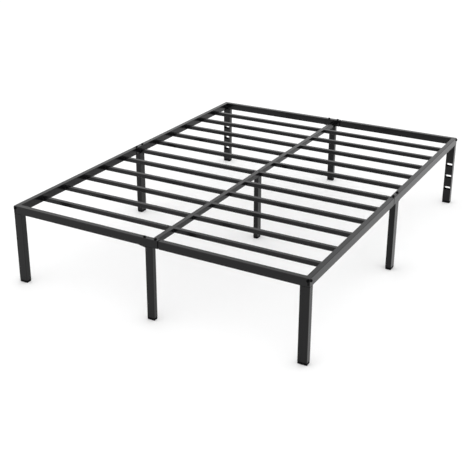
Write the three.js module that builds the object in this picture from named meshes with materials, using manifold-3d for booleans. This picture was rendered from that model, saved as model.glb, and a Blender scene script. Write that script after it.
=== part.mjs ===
// Platform bed frame of bolted steel tube: nine legs, split outer rails, a split centre rail
// and two rows of slats. Millimetres, +Z up. The origin is on the floor under the middle of
// the bed, +Y points to the head end and +X to the right as seen from the foot end.
import * as THREE from 'three';
import { mergeVertices } from 'three/addons/utils/BufferGeometryUtils.js';
import Module from 'manifold-3d';

const wasm = await Module();
wasm.setup();

// ---------------------------------------------------------------- driving dimensions
const WIDTH = 1520;              // over the outer rails
const LENGTH = 2030;
const HEIGHT = 396;              // floor to the top of the outer rails
const GAP = 0.3;                 // clearance between pieces that touch
const WALL = 1.5;                // tube wall
const TUBE_RADIUS = 1.5;         // outside corner radius of every tube
const CORNER_STEPS = 3;          // facets on each rounded tube corner

const RAIL = { wide: 25, high: 38 };
const CENTRE_RAIL = { wide: 24, high: 24 };
const SLAT = { wide: 21, high: 20 };
const PLATFORM_DROP = 18;        // slats and centre rail sit below the outer rails, as a lip
const SLATS_PER_HALF = 5;        // slats in each half length, besides the middle one
const SLAT_PITCH = 167;
const FIRST_FOOT_SLAT = -822;
const MIDDLE_ROW = 3.5;          // middle slat, centre leg and side middle legs
const FIRST_HEAD_SLAT = 173;

const CORNER_LEG = { x: 44, y: 30 };
const END_MID_LEG = { x: 38, y: 25 };     // at the middle of the foot and head rails
const SIDE_MID_LEG = { x: 30, y: 44 };    // at the middle of the side rails
const CENTRE_LEG = { x: 25, y: 38 };
const CAP_HEIGHT = 12;                    // plastic foot below the steel
const CAP_CHAMFER = 2;
const CAP_PLUG_HEIGHT = 15;

const SEAM_OFFSET = 45;                   // leg centre to the seam between two half rails
const SEAM_GAP = 5.5;
const TONGUE_LENGTH = 100;                // insert welded in one half, sliding into the other
const TONGUE_ROOT = 15;
const WELD_OVERLAP = 0.3;                 // how far a welded piece runs into its neighbour

const LEG_PLATE = 3.5;                    // plate on top of the centre leg
const GUSSET_LENGTH = 34;
const GUSSET_DROP = 7;
const GUSSET_WIDE = 22;

const BOLT_SPAN = 28;                     // leg centre to each joint bolt
const BOLT_RADIUS = 3;
const BOLT_HOLE_RADIUS = 3.6;
const BOLT_HEAD_RADIUS = 6.5;
const BOLT_HEAD_HEIGHT = 5;
const BOLT_SOCKET_RADIUS = 2.6;
const BOLT_SOCKET_DEPTH = 3;
const BOLT_SIDES = 16;
const NUT_PLATE = { long: 72, wide: 16, thick: 3 };
const CORNER_BOLT_INSET = 9;              // from the corner edge, along each outer face
const CORNER_BOLT_DROP = 10;              // below the top of the rails
const CORNER_PLATE = { leg: 18, high: 30, thick: 3 };
const CORNER_SLOT = { wide: 4, high: 14, inset: 8, drop: 24 };

const HEADBOARD_SLOT = { wide: 36, high: 20, radius: 4 };
const HEADBOARD_SLOT_HEIGHTS = [93, 165, 236];

const END_BRACKET = { wide: 24, deep: 45, thick: 2.5 };   // angle under each end of the centre rail

// ---------------------------------------------------------------- levels worked out from these
const RAIL_BOTTOM = HEIGHT - RAIL.high;
const PLATFORM_TOP = HEIGHT - PLATFORM_DROP;
const SLAT_BOTTOM = PLATFORM_TOP - SLAT.high;
const CENTRE_BOTTOM = PLATFORM_TOP - CENTRE_RAIL.high;
const HALF_WIDTH = WIDTH / 2;
const HALF_LENGTH = LENGTH / 2;
const RAIL_CENTRE_Z = RAIL_BOTTOM + RAIL.high / 2;
const HEAD_RAIL_Y = HALF_LENGTH - RAIL.wide / 2;
const SIDE_RAIL_X = HALF_WIDTH - RAIL.wide / 2;
const CENTRE_SEAM = MIDDLE_ROW + SLAT.wide / 2 - SEAM_GAP;

// ---------------------------------------------------------------- materials
const STEEL = { color: 0x1a1a1b, roughness: 0.45, metalness: 0.1 };
const BLACK_PLASTIC = { color: 0x0c0c0d, roughness: 0.6, metalness: 0 };
const BLACK_BOLT = { color: 0x101011, roughness: 0.4, metalness: 0.6 };

const group = new THREE.Group();

function addPiece(name, solid, look) {
  const mesh = new THREE.Mesh(toGeometry(solid), new THREE.MeshStandardMaterial(look));
  mesh.name = name;
  group.add(mesh);
}

// ---------------------------------------------------------------- solids
function toSolid(geometry) {
  const bare = geometry.clone();
  bare.deleteAttribute('normal');
  bare.deleteAttribute('uv');
  const merged = mergeVertices(bare, 1e-4);
  return new wasm.Manifold(new wasm.Mesh({
    numProp: 3,
    vertProperties: new Float32Array(merged.attributes.position.array),
    triVerts: new Uint32Array(merged.index.array),
  }));
}

function toGeometry(solid) {
  const mesh = solid.getMesh();
  const geometry = new THREE.BufferGeometry();
  geometry.setAttribute('position', new THREE.BufferAttribute(new Float32Array(mesh.vertProperties), 3));
  geometry.setIndex(new THREE.BufferAttribute(new Uint32Array(mesh.triVerts), 1));
  geometry.computeVertexNormals();
  return geometry;
}

// A rectangle centred on the origin, with rounded corners where radius is above zero.
function rectangle(wide, high, radius = 0) {
  const shape = new THREE.Shape();
  const corners = [[1, 1, 0], [-1, 1, 1], [-1, -1, 2], [1, -1, 3]];
  for (const [sx, sy, quarter] of corners) {
    const cx = sx * (wide / 2 - radius);
    const cy = sy * (high / 2 - radius);
    const steps = radius > 0 ? CORNER_STEPS : 0;
    for (let i = 0; i <= steps; i += 1) {
      const angle = (quarter + (steps ? i / steps : 0)) * Math.PI / 2;
      const x = cx + radius * Math.cos(angle);
      const y = cy + radius * Math.sin(angle);
      if (quarter === 0 && i === 0) shape.moveTo(x, y);
      else shape.lineTo(x, y);
    }
  }
  shape.closePath();
  return shape;
}

function order(a, b) {
  return [Math.min(a, b), Math.max(a, b)];
}

// Axis maps: an outline drawn in (u, v) and extruded from low to high along the named axis.
const BASIS = {
  x: new THREE.Matrix4().makeBasis(
    new THREE.Vector3(0, 1, 0), new THREE.Vector3(0, 0, 1), new THREE.Vector3(1, 0, 0)),
  y: new THREE.Matrix4().makeBasis(
    new THREE.Vector3(-1, 0, 0), new THREE.Vector3(0, 0, 1), new THREE.Vector3(0, 1, 0)),
  z: new THREE.Matrix4(),
};

function extrude(shape, axis, low, high, centre = [0, 0, 0]) {
  const geometry = new THREE.ExtrudeGeometry(shape, { depth: high - low, bevelEnabled: false });
  geometry.translate(0, 0, low);
  geometry.applyMatrix4(BASIS[axis]);
  geometry.translate(...centre);
  return toSolid(geometry);
}

function bar(wide, high, axis, start, end, centre, radius = TUBE_RADIUS) {
  return extrude(rectangle(wide, high, radius), axis, start, end, centre);
}

function cylinder(radius, axis, low, high, centre, sides = BOLT_SIDES) {
  const shape = new THREE.Shape();
  shape.absarc(0, 0, radius, 0, Math.PI * 2, false);
  const points = shape.getPoints(sides / 2).slice(0, -1);
  return extrude(new THREE.Shape(points), axis, low, high, centre);
}

// A straight tube, open at both ends.
function tube(wide, high, axis, start, end, centre) {
  const outside = bar(wide, high, axis, start, end, centre);
  const bore = bar(wide - 2 * WALL, high - 2 * WALL, axis, start - 1, end + 1, centre, 0);
  return outside.subtract(bore);
}

// ---------------------------------------------------------------- outer rails
// Where an outer rail crosses its middle leg. "along" is the rail's axis, "seam" the side of
// the leg on which the two halves meet (+1 or -1 along the rail) and "middle" the leg's centre.
const JOINTS = {
  foot: { along: 'x', middle: 0, seam: 1, centre: [0, -HEAD_RAIL_Y, RAIL_CENTRE_Z] },
  head: { along: 'x', middle: 0, seam: 1, centre: [0, HEAD_RAIL_Y, RAIL_CENTRE_Z] },
  left: { along: 'y', middle: MIDDLE_ROW, seam: -1, centre: [-SIDE_RAIL_X, 0, RAIL_CENTRE_Z] },
  right: { along: 'y', middle: MIDDLE_ROW, seam: -1, centre: [SIDE_RAIL_X, 0, RAIL_CENTRE_Z] },
};

function jointBoltPlaces(joint) {
  return [-1, 1].map((side) => {
    const place = [...joint.centre];
    place[joint.along === 'x' ? 0 : 1] = joint.middle + side * BOLT_SPAN;
    return place;
  });
}

function drillJoint(solid, joint) {
  let drilled = solid;
  for (const [x, y] of jointBoltPlaces(joint)) {
    drilled = drilled.subtract(cylinder(BOLT_HOLE_RADIUS, 'z', RAIL_CENTRE_Z, HEIGHT + 1, [x, y, 0]));
  }
  return drilled;
}

// The half that the middle leg is fixed to. It receives the other half's tongue.
function socketHalf(joint, end) {
  const seam = joint.middle + joint.seam * SEAM_OFFSET;
  const [low, high] = joint.seam > 0 ? [-end, seam] : [seam, end];
  return drillJoint(tube(RAIL.wide, RAIL.high, joint.along, low, high, joint.centre), joint);
}

// The half with the welded tongue that slides into the other one.
function tongueHalf(joint, end) {
  const seam = joint.middle + joint.seam * (SEAM_OFFSET + SEAM_GAP);
  const [low, high] = joint.seam > 0 ? [seam, end] : [-end, seam];
  const inside = { wide: RAIL.wide - 2 * WALL, high: RAIL.high - 2 * WALL };
  const [rootLow, rootHigh] = order(seam, seam + joint.seam * TONGUE_ROOT);
  const [tipLow, tipHigh] = order(seam - joint.seam * TONGUE_LENGTH, seam + joint.seam);
  const root = bar(inside.wide + 2 * WELD_OVERLAP, inside.high + 2 * WELD_OVERLAP,
    joint.along, rootLow, rootHigh, joint.centre, 0);
  const tip = bar(inside.wide - 2 * GAP, inside.high - 2 * GAP,
    joint.along, tipLow, tipHigh, joint.centre, 0);
  const bore = bar(inside.wide - 2 * (GAP + WALL), inside.high - 2 * (GAP + WALL),
    joint.along, Math.min(tipLow, rootLow) - 1, Math.max(tipHigh, rootHigh) + 1, joint.centre, 0);
  const shell = tube(RAIL.wide, RAIL.high, joint.along, low, high, joint.centre);
  return drillJoint(shell.add(root).add(tip).subtract(bore), joint);
}

// The nut plate inside the tongue, with the two bolts that are screwed into it.
function jointBolts(joint) {
  const plateTop = HEIGHT - 2 * WALL - 2 * GAP;
  const along = joint.along === 'x';
  const [sizeX, sizeY] = along ? [NUT_PLATE.long, NUT_PLATE.wide] : [NUT_PLATE.wide, NUT_PLATE.long];
  const place = along ? [joint.middle, joint.centre[1], 0] : [joint.centre[0], joint.middle, 0];
  let solid = bar(sizeX, sizeY, 'z', plateTop - NUT_PLATE.thick, plateTop, place, 0);
  for (const [x, y] of jointBoltPlaces(joint)) {
    solid = solid.add(cylinder(BOLT_RADIUS, 'z', plateTop - 1, HEIGHT + 1, [x, y, 0]));
    solid = solid.add(boltHead('z', 1, [x, y, HEIGHT + GAP]));
  }
  return solid;
}

// A button head with a hexagon socket, standing on a face. "axis" is x, y or z, "way" is +1 or
// -1 for the side that the head points to, and "seat" is a point on the face under its middle.
function boltHead(axis, way, seat) {
  const outline = [
    new THREE.Vector2(0, 0),
    new THREE.Vector2(BOLT_HEAD_RADIUS, 0),
    new THREE.Vector2(BOLT_HEAD_RADIUS, BOLT_HEAD_HEIGHT * 0.3),
    new THREE.Vector2(BOLT_HEAD_RADIUS * 0.85, BOLT_HEAD_HEIGHT * 0.72),
    new THREE.Vector2(BOLT_HEAD_RADIUS * 0.55, BOLT_HEAD_HEIGHT),
    new THREE.Vector2(0, BOLT_HEAD_HEIGHT),
  ];
  const dome = new THREE.LatheGeometry(outline, BOLT_SIDES);
  const socket = hexagonSocket();
  const turn = new THREE.Matrix4().makeRotationFromQuaternion(
    new THREE.Quaternion().setFromUnitVectors(new THREE.Vector3(0, 1, 0), wayVector(axis, way)));
  for (const geometry of [dome, socket]) {
    geometry.applyMatrix4(turn);
    geometry.translate(...seat);
  }
  return toSolid(dome).subtract(toSolid(socket));
}

function hexagonSocket() {
  const depth = BOLT_SOCKET_DEPTH + 1;
  const prism = new THREE.CylinderGeometry(BOLT_SOCKET_RADIUS, BOLT_SOCKET_RADIUS, depth, 6);
  prism.translate(0, BOLT_HEAD_HEIGHT - BOLT_SOCKET_DEPTH + depth / 2, 0);
  return prism;
}

function wayVector(axis, way) {
  return new THREE.Vector3(axis === 'x' ? way : 0, axis === 'y' ? way : 0, axis === 'z' ? way : 0);
}

// The L-shaped nut plate inside a mitred corner, with the bolt through each outer face.
function cornerBolts(sx, sy) {
  const z = HEIGHT - CORNER_BOLT_DROP;
  const plane = WALL + GAP;
  const faceX = sx * (HALF_WIDTH - plane);
  const faceY = sy * (HALF_LENGTH - plane);
  const backX = faceX - sx * CORNER_PLATE.thick;
  const backY = faceY - sy * CORNER_PLATE.thick;
  const sideLeaf = bar(CORNER_PLATE.leg, CORNER_PLATE.high, 'x', ...order(faceX, backX),
    [0, faceY - sy * CORNER_PLATE.leg / 2, RAIL_CENTRE_Z], 0);
  const endLeaf = bar(CORNER_PLATE.leg, CORNER_PLATE.high, 'y', ...order(faceY, backY),
    [faceX - sx * CORNER_PLATE.leg / 2, 0, RAIL_CENTRE_Z], 0);
  const boltX = sx * (HALF_WIDTH - CORNER_BOLT_INSET);
  const boltY = sy * (HALF_LENGTH - CORNER_BOLT_INSET);
  const seatX = sx * (HALF_WIDTH + GAP);
  const seatY = sy * (HALF_LENGTH + GAP);
  const sideShank = cylinder(BOLT_RADIUS, 'x', ...order(backX + sx, seatX + sx), [0, boltY, z]);
  const endShank = cylinder(BOLT_RADIUS, 'y', ...order(backY + sy, seatY + sy), [boltX, 0, z]);
  return sideLeaf.add(endLeaf).add(sideShank).add(endShank)
    .add(boltHead('x', sx, [seatX, boltY, z]))
    .add(boltHead('y', sy, [boltX, seatY, z]));
}

// Cuts a rail's end to the mitre at corner (sx, sy) and drills its outer face there.
function finishCorner(rail, sx, sy, isEndRail) {
  const lag = GAP / Math.SQRT2;
  const past = 2;
  const reach = RAIL.wide + 2 * past;
  // The outline is in distances in from the two outer faces: across from the side, then from the end.
  const fromEndRail = [[-past, -past - lag], [reach, reach - lag], [-past, reach]];
  const fromSideRail = [[-past - lag, -past], [reach - lag, reach], [reach, -past]];
  const points = (isEndRail ? fromEndRail : fromSideRail)
    .map(([u, v]) => new THREE.Vector2(sx * (HALF_WIDTH - u), sy * (HALF_LENGTH - v)));
  if (THREE.ShapeUtils.isClockWise(points)) points.reverse();
  const wedge = extrude(new THREE.Shape(points), 'z', RAIL_BOTTOM - 1, HEIGHT + 1);
  return drillCorner(rail.subtract(wedge), sx, sy, isEndRail);
}

function drillCorner(rail, sx, sy, isEndRail) {
  const z = HEIGHT - CORNER_BOLT_DROP;
  const depth = WALL + 1;
  if (!isEndRail) {
    const place = [sx * HALF_WIDTH, sy * (HALF_LENGTH - CORNER_BOLT_INSET), z];
    return rail.subtract(cylinder(BOLT_HOLE_RADIUS, 'x', -depth, depth, place));
  }
  const hole = cylinder(BOLT_HOLE_RADIUS, 'y', -depth, depth,
    [sx * (HALF_WIDTH - CORNER_BOLT_INSET), sy * HALF_LENGTH, z]);
  const slot = bar(CORNER_SLOT.wide, CORNER_SLOT.high, 'y', -depth, depth,
    [sx * (HALF_WIDTH - CORNER_SLOT.inset), sy * HALF_LENGTH, HEIGHT - CORNER_SLOT.drop], 0);
  return rail.subtract(hole).subtract(slot);
}

function addOuterRails() {
  for (const [name, sy] of [['foot', -1], ['head', 1]]) {
    const left = socketHalf(JOINTS[name], HALF_WIDTH);
    const right = tongueHalf(JOINTS[name], HALF_WIDTH);
    addPiece(`${name}_rail_left_half`, finishCorner(left, -1, sy, true), STEEL);
    addPiece(`${name}_rail_right_half`, finishCorner(right, 1, sy, true), STEEL);
  }
  for (const [name, sx] of [['left', -1], ['right', 1]]) {
    const foot = tongueHalf(JOINTS[name], HALF_LENGTH);
    const head = socketHalf(JOINTS[name], HALF_LENGTH);
    addPiece(`${name}_side_rail_foot_half`, finishCorner(foot, sx, -1, false), STEEL);
    addPiece(`${name}_side_rail_head_half`, finishCorner(head, sx, 1, false), STEEL);
  }
  for (const [name, joint] of Object.entries(JOINTS)) {
    addPiece(`${name}_joint_bolts`, jointBolts(joint), BLACK_BOLT);
  }
}

// ---------------------------------------------------------------- centre rail
const CENTRE_END = HALF_LENGTH - RAIL.wide - END_BRACKET.thick - 2 * GAP;

function addCentreRail() {
  const centre = [0, 0, CENTRE_BOTTOM + CENTRE_RAIL.high / 2];
  const inside = CENTRE_RAIL.wide - 2 * WALL;
  const foot = tube(CENTRE_RAIL.wide, CENTRE_RAIL.high, 'y', -CENTRE_END, CENTRE_SEAM, centre);
  const headLow = CENTRE_SEAM + SEAM_GAP;
  const shell = tube(CENTRE_RAIL.wide, CENTRE_RAIL.high, 'y', headLow, CENTRE_END, centre);
  const root = bar(inside + 2 * WELD_OVERLAP, inside + 2 * WELD_OVERLAP, 'y',
    headLow, headLow + TONGUE_ROOT, centre, 0);
  const tip = bar(inside - 2 * GAP, inside - 2 * GAP, 'y', headLow - TONGUE_LENGTH, headLow + 1, centre, 0);
  const bore = bar(inside - 2 * (GAP + WALL), inside - 2 * (GAP + WALL), 'y',
    headLow - TONGUE_LENGTH - 1, headLow + TONGUE_ROOT + 1, centre, 0);
  addPiece('centre_rail_foot_half', foot, STEEL);
  addPiece('centre_rail_head_half', shell.add(root).add(tip).subtract(bore), STEEL);
}

// A folded angle: one leaf on the outer rail's inner face, one under the centre rail's end.
function endBracket(side) {
  const wallFace = side * (HALF_LENGTH - RAIL.wide - GAP);
  const low = CENTRE_BOTTOM - GAP - END_BRACKET.thick;
  const high = PLATFORM_TOP;
  const upright = bar(END_BRACKET.wide, high - low, 'y',
    ...order(wallFace, wallFace - side * END_BRACKET.thick), [0, 0, (low + high) / 2], 0);
  const shelf = bar(END_BRACKET.wide, END_BRACKET.thick, 'y',
    ...order(wallFace, wallFace - side * END_BRACKET.deep), [0, 0, low + END_BRACKET.thick / 2], 0);
  return upright.add(shelf);
}

// ---------------------------------------------------------------- legs
// The gusset between a mid leg and the underside of its rail. "toward" is +1 or -1, the side
// of the leg that it is on along the rail.
function gusset(along, railUnderside, halfLeg, toward) {
  const outline = [
    [halfLeg - WALL, 0],
    [halfLeg - WALL, -GUSSET_DROP],
    [halfLeg, -GUSSET_DROP],
    [halfLeg + GUSSET_LENGTH, 0],
  ];
  const across = along === 'x' ? 'y' : 'x';
  const flip = along === 'x' ? -toward : toward;
  const points = outline.map(([u, v]) => new THREE.Vector2(flip * u, v));
  if (THREE.ShapeUtils.isClockWise(points)) points.reverse();
  return extrude(new THREE.Shape(points), across, -GUSSET_WIDE / 2, GUSSET_WIDE / 2, railUnderside);
}

function legTube(size, x, y, top) {
  return tube(size.x, size.y, 'z', CAP_HEIGHT + GAP, top, [x, y, 0]);
}

// A plastic foot: a pad under the tube with a chamfered sole, and a plug up inside the tube.
function footCap(size, x, y) {
  const sole = new THREE.ExtrudeGeometry(
    rectangle(size.x - 2 * CAP_CHAMFER, size.y - 2 * CAP_CHAMFER),
    { depth: CAP_HEIGHT - 2 * CAP_CHAMFER, bevelEnabled: true, bevelThickness: CAP_CHAMFER,
      bevelSize: CAP_CHAMFER, bevelSegments: 1 });
  sole.translate(x, y, CAP_CHAMFER);
  const inset = 2 * (WALL + GAP);
  const plug = bar(size.x - inset, size.y - inset, 'z', CAP_HEIGHT - 1, CAP_HEIGHT + CAP_PLUG_HEIGHT,
    [x, y, 0], 0);
  return toSolid(sole).add(plug);
}

function slotCutter(x, y, z) {
  const reach = CORNER_LEG.y;
  return extrude(rectangle(HEADBOARD_SLOT.wide, HEADBOARD_SLOT.high, HEADBOARD_SLOT.radius),
    'y', -reach, reach, [x, y, z]);
}

function addCornerLegs() {
  const top = RAIL_BOTTOM - GAP;
  for (const [end, sy] of [['foot', -1], ['head', 1]]) {
    for (const [side, sx] of [['left', -1], ['right', 1]]) {
      const x = sx * (HALF_WIDTH - CORNER_LEG.x / 2);
      const y = sy * (HALF_LENGTH - CORNER_LEG.y / 2);
      let leg = legTube(CORNER_LEG, x, y, top);
      if (end === 'head') {
        for (const z of HEADBOARD_SLOT_HEIGHTS) leg = leg.subtract(slotCutter(x, y, z));
      }
      addPiece(`${end}_${side}_leg`, leg, STEEL);
      addPiece(`${end}_${side}_foot_cap`, footCap(CORNER_LEG, x, y), BLACK_PLASTIC);
      addPiece(`${end}_${side}_corner_bolts`, cornerBolts(sx, sy), BLACK_BOLT);
    }
  }
}

function addMidLeg(name, size, x, y, along, side) {
  const top = RAIL_BOTTOM - GAP;
  const halfLeg = (along === 'x' ? size.x : size.y) / 2;
  const railX = along === 'x' ? x : Math.sign(x) * SIDE_RAIL_X;
  const railY = along === 'x' ? Math.sign(y) * HEAD_RAIL_Y : y;
  const leg = legTube(size, x, y, top).add(gusset(along, [railX, railY, top], halfLeg, side));
  addPiece(`${name}_leg`, leg, STEEL);
  addPiece(`${name}_foot_cap`, footCap(size, x, y), BLACK_PLASTIC);
}

function addMidLegs() {
  const endY = HALF_LENGTH - END_MID_LEG.y / 2;
  const sideX = HALF_WIDTH - SIDE_MID_LEG.x / 2;
  addMidLeg('foot_middle', END_MID_LEG, 0, -endY, 'x', -1);
  addMidLeg('head_middle', END_MID_LEG, 0, endY, 'x', -1);
  addMidLeg('left_middle', SIDE_MID_LEG, -sideX, MIDDLE_ROW, 'y', 1);
  addMidLeg('right_middle', SIDE_MID_LEG, sideX, MIDDLE_ROW, 'y', 1);
}

// The centre leg has a plain plate welded on top, under the seam of the centre rail.
function addCentreLeg() {
  const top = CENTRE_BOTTOM - GAP;
  const plate = bar(CENTRE_RAIL.wide, 2 * BOLT_SPAN + CENTRE_LEG.y, 'z', top - LEG_PLATE, top,
    [0, MIDDLE_ROW, 0], 0);
  addPiece('centre_leg', legTube(CENTRE_LEG, 0, MIDDLE_ROW, top).add(plate), STEEL);
  addPiece('centre_foot_cap', footCap(CENTRE_LEG, 0, MIDDLE_ROW), BLACK_PLASTIC);
}

// ---------------------------------------------------------------- slats
function slatPlaces() {
  const row = (first) => Array.from({ length: SLATS_PER_HALF }, (_, i) => first + i * SLAT_PITCH);
  return [...row(FIRST_FOOT_SLAT), MIDDLE_ROW, ...row(FIRST_HEAD_SLAT)];
}

function addSlats() {
  const outer = HALF_WIDTH - RAIL.wide - GAP;
  const inner = CENTRE_RAIL.wide / 2 + GAP;
  const z = SLAT_BOTTOM + SLAT.high / 2;
  slatPlaces().forEach((y, i) => {
    const number = String(i + 1).padStart(2, '0');
    addPiece(`slat_left_${number}`, tube(SLAT.wide, SLAT.high, 'x', -outer, -inner, [0, y, z]), STEEL);
    addPiece(`slat_right_${number}`, tube(SLAT.wide, SLAT.high, 'x', inner, outer, [0, y, z]), STEEL);
  });
}

addOuterRails();
addCentreRail();
addPiece('foot_centre_rail_bracket', endBracket(-1), STEEL);
addPiece('head_centre_rail_bracket', endBracket(1), STEEL);
addCornerLegs();
addMidLegs();
addCentreLeg();
addSlats();

export default group;
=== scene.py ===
"""Looks for a black steel platform bed frame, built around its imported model.

Every piece is made in metres in the model's own frame: +Y to the head end, +Z up, floor at 0.
"""
import math

import bmesh
import bpy
from bpy.props import FloatProperty, FloatVectorProperty, IntProperty, PointerProperty
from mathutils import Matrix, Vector


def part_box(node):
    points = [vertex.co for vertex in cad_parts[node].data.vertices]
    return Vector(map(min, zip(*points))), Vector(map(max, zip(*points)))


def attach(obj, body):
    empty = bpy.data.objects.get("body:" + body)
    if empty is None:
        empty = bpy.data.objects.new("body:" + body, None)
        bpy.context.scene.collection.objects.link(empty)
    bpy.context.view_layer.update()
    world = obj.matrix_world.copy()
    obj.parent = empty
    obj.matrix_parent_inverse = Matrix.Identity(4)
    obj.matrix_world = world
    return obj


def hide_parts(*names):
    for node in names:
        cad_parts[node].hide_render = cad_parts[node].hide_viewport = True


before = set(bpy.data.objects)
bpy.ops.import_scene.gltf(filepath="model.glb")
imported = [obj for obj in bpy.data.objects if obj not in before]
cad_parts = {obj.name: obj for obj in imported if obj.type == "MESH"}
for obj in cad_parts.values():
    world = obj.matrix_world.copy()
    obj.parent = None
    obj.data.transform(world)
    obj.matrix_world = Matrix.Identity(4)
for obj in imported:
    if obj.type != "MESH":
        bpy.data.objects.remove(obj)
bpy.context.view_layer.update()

bl_info = {
    "name": "Platform Bed Frame",
    "version": (1, 0, 0),
    "blender": (4, 5, 0),
    "location": "3D View > Sidebar > Bed Frame",
    "description": "Tubes, legs, slats, fasteners, welds and studio for a steel platform bed frame",
    "category": "Object",
}

BODY = "root"
MM = 0.001
SLAT_ROWS = 11
ENDS = (("foot", -1), ("head", 1))
SIDES = (("left", -1), ("right", 1))

# Surface noises, in waves to the metre, and how they act
PEEL_WAVES = 700.0
MOTTLE_WAVES = 14.0
SPECK_WAVES = 2600.0
EDGE_WAVES = 60.0
SPECK_LEVEL = 0.74               # noise above this is a speck of dust
SPECK_ROUGHNESS = 0.06
MOTTLE_SHADE = (0.75, 1.3)       # darkest and lightest mottling, against the plain colour
PEEL_DEPTH = 0.1 * MM
# The painted highlight on outside edges: pointiness where it starts, how fast it rises and how much noise
# breaks it up
EDGE_START = 0.52                # pointiness at which an edge begins to show
EDGE_GAIN = 9.0
EDGE_BREAKUP = 1.6
FLOOR_SHADE = (0.995, 1.005)

# Fixed sizes of the details
INSERT_REACH = 100 * MM          # how far an insert stands out of its rail
INSERT_ROOT = 10 * MM            # part of an insert inside the rail that carries it
BRACKET_THICK = 2.5 * MM
BRACKET_BEND = 3 * MM            # inside radius of the fold
BEND_STEPS = 5
PLATE = (24 * MM, 3.5 * MM)      # width and thickness of the plate on the centre leg
GUSSET_DROP = 7 * MM             # height of a gusset at its leg
GUSSET_TIP = 1 * MM              # height at its tip, and how far its root runs into the leg
GUSSET_HALF = 11 * MM
CORNER_SLOT = (4 * MM, 14 * MM)
CORNER_SLOT_RADIUS = 1.9 * MM
CORNER_SLOT_INSET = 8 * MM       # from the outer corner
CORNER_SLOT_DROP = 24 * MM       # from the top of the rails
CORNER_SLOT_DEPTH = 2.5 * MM
HEADBOARD_SLOT = (36 * MM, 20 * MM)
HEADBOARD_SLOT_RADIUS = 4 * MM
HEADBOARD_SLOT_HEIGHTS = (93 * MM, 165 * MM, 236 * MM)
HEADBOARD_CUT = 40 * MM          # past both walls of a leg
HEAD_SIDES = 36                  # faces round a button head
HEAD_SKIRT = 0.28                # upright part of a head, against its height
HEAD_FLAT = 0.5                  # flat part of its top, against its radius
DOME_STEPS = 6
JOINT_BOLT_INSET = 8 * MM        # from the end of a nut plate to a bolt
CORNER_BOLT_INSET = 9 * MM
CORNER_BOLT_DROP = 10 * MM
CORNER_BOLT_LIFT = 0.3 * MM      # head above the face
WELD_STOP = 3 * MM               # a bead stops this far short of an edge
WELD_STOP_LOW = 2 * MM           # at the lower end of a slat's bead
WELD_STOP_HEADWARD = 5 * MM      # at the +Y end of a bead on an end rail's leg
SCREWED_ROWS = (1, 6)            # slats with a screw beside the centre rail
FLOOR_REACH = 60.0
VIEW_REACH = 200.0               # farthest thing that the camera sees
FOOT_CORNER = 3.0                # corner radius of a foot, in millimetres
FOOT_CORNER_LEAST = 0.7
# A foot's profile: height above the floor and inset from its full width, in millimetres
FOOT_PROFILE = ((0, 3.0), (0.25, 2.2), (0.8, 1.2), (1.8, 0.45), (3.2, 0.1), (9.6, 0.0),
                (10.0, 0.35), (10.4, 0.35), (10.8, 0.0), (11.6, 0.0), (12.0, 0.3), (12.0, 1.9),
                (14.0, 1.9), (14.6, 2.3), (17.0, 2.3), (17.6, 1.9), (20.0, 1.9), (20.6, 2.3),
                (26.0, 2.3), (27.0, 3.0))


# ------------------------------------------------------------------ sizes and colours to change
class TubeSizes(bpy.types.PropertyGroup):
    """Sizes of the steel tube that do not follow from the model's boxes."""

    wall: FloatProperty(name="Wall", description="Thickness of the tube wall",
                        default=1.5 * MM, unit="LENGTH")
    corner: FloatProperty(name="Corner", description="Outside corner radius of the tube",
                          default=1.5 * MM, unit="LENGTH")
    corner_steps: IntProperty(name="Corner steps", description="Faces round each tube corner",
                              default=6, min=2, max=16)
    insert_clearance: FloatProperty(name="Insert clearance", default=0.3 * MM, unit="LENGTH",
                                    description="Gap between a rail and the insert that slides into it")
    edge_break: FloatProperty(name="Edge break", description="Rounding of cut edges",
                              default=0.35 * MM, unit="LENGTH")
    support: FloatProperty(name="Support", description="Edge loop to the end of a tube",
                           default=1 * MM, unit="LENGTH")


class DetailSizes(bpy.types.PropertyGroup):
    """Sizes of the fasteners and the welds."""

    head_radius: FloatProperty(name="Bolt head", description="Radius of a button head",
                               default=6.5 * MM, unit="LENGTH")
    head_height: FloatProperty(name="Head height", description="Height of a button head",
                               default=5 * MM, unit="LENGTH")
    head_socket: FloatProperty(name="Hex socket", description="Hexagon socket across its corners, halved",
                               default=2.6 * MM, unit="LENGTH")
    screw_scale: FloatProperty(name="Slat screw", description="Size of a slat screw against a bolt",
                               default=0.5, min=0.1, max=1.0)
    screw_inset: FloatProperty(name="Screw inset", description="Slat screw to the slat's inner end",
                               default=12 * MM, unit="LENGTH")
    bead_radius: FloatProperty(name="Weld bead", description="Radius of one weld ripple",
                               default=1.5 * MM, unit="LENGTH")
    bead_pitch: FloatProperty(name="Bead pitch", description="Distance between weld ripples",
                              default=1.6 * MM, unit="LENGTH")
    bead_seed: IntProperty(name="Bead seed", description="Seed for the uneven size of the ripples",
                           default=7)


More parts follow.
